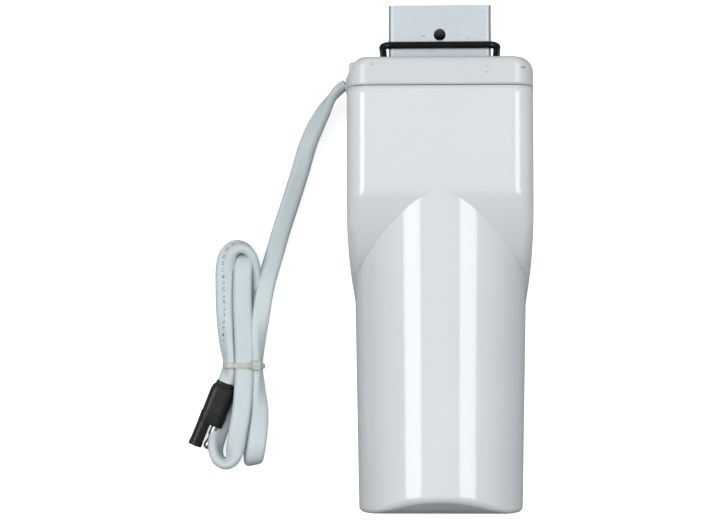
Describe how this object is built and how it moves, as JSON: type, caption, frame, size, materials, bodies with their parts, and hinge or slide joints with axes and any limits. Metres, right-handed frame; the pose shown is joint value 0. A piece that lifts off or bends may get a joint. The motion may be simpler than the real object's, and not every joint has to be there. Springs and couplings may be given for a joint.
{
  "type": "motorised actuator head",
  "caption": "Worm-geared electric drive head in a white moulded cover, with a square aluminium mounting spigot, a drive socket in its back and a flat supply cable with a two-pole plug.",
  "frame": {"origin": "middle of the footprint of the head without its cable, on the surface that it lies on", "axes": "+Y along the head towards the spigot, +Z out of the glossy front, +X to the right seen from the front with the spigot up"},
  "size_m": [0.1839, 0.2628, 0.078],
  "materials": {
    "gloss_cover": "glossy moulded white",
    "painted_casting": "matt white paint over a rough die casting, chipped at the edges",
    "spigot_aluminium": "satin extruded aluminium with light scuffs",
    "black_rubber": "smooth black rubber",
    "steel": "machined steel",
    "zinc_steel": "zinc-plated steel",
    "cast_alloy": "bare die-cast alloy",
    "bearing_steel": "ground bearing steel",
    "bronze": "machined bronze",
    "ferrite": "dark sintered ferrite",
    "copper": "enamelled copper",
    "carbon": "carbon",
    "phenolic": "brown phenolic",
    "cable_vinyl": "soft white-grey vinyl jacket",
    "nylon": "translucent nylon",
    "black_vinyl": "moulded black vinyl",
    "red_vinyl": "red wire insulation",
    "nickel": "nickel-plated brass"
  },
  "bodies": {
    "head": {"front_cover": "gloss_cover", "back_cover": "gloss_cover", "end_casting": "painted_casting", "mounting_spigot": "spigot_aluminium", "spigot_ring": "black_rubber", "output_seal": "black_rubber", "spigot_screw_1": "steel", "spigot_screw_2": "steel", "spigot_screw_3": "steel", "spigot_screw_4": "steel", "back_cover_screw_1": "steel", "back_cover_screw_2": "steel", "back_cover_screw_3": "steel", "back_cover_screw_4": "steel", "back_cover_screw_5": "steel", "back_cover_screw_6": "steel", "motor_bolt_1": "steel", "motor_bolt_2": "steel", "gearbox_lid_screw_1": "zinc_steel", "gearbox_lid_screw_2": "zinc_steel", "gearbox_lid_screw_3": "zinc_steel", "gearbox_lid_screw_4": "zinc_steel", "gearbox_mount_screw_1": "zinc_steel", "gearbox_mount_screw_2": "zinc_steel", "motor_can": "zinc_steel", "gearbox_case": "cast_alloy", "gearbox_lid": "cast_alloy", "motor_end_bell": "cast_alloy", "output_bearing_rear": "bearing_steel", "output_bearing_front": "bearing_steel", "worm_bearing": "bearing_steel", "shaft_bush_front": "bronze", "shaft_bush_rear": "bronze", "magnet_1": "ferrite", "magnet_2": "ferrite", "brush_1": "carbon", "brush_2": "carbon", "brush_holder": "phenolic", "cable_lead": "cable_vinyl", "cable_hank": "cable_vinyl", "cable_gland": "cable_vinyl", "cable_tie": "nylon", "plug_body": "black_vinyl", "lead_black": "black_vinyl", "lead_red": "red_vinyl", "plug_pin": "nickel", "plug_socket": "nickel"},
    "rotor": {"motor_shaft": "steel", "worm": "steel", "armature_stack": "zinc_steel", "armature_windings": "copper", "commutator": "copper"},
    "output": {"worm_wheel": "bronze", "output_hub": "steel", "hub_retaining_ring": "zinc_steel"}
  },
  "joints": [
    {"name": "rotor_spin", "type": "hinge", "parent": "head", "child": "rotor", "pos_m": [-0.012, 0, 0.038], "axis": [0, 1, 0], "continuous": true},
    {"name": "output_spin", "type": "hinge", "parent": "head", "child": "output", "pos_m": [0.016, 0.06, 0.038], "axis": [0, 0, 1], "continuous": true}
  ],
  "couplings": [
    {"joint": "output_spin", "follows": "rotor_spin", "ratio": 0.035714}
  ]
}
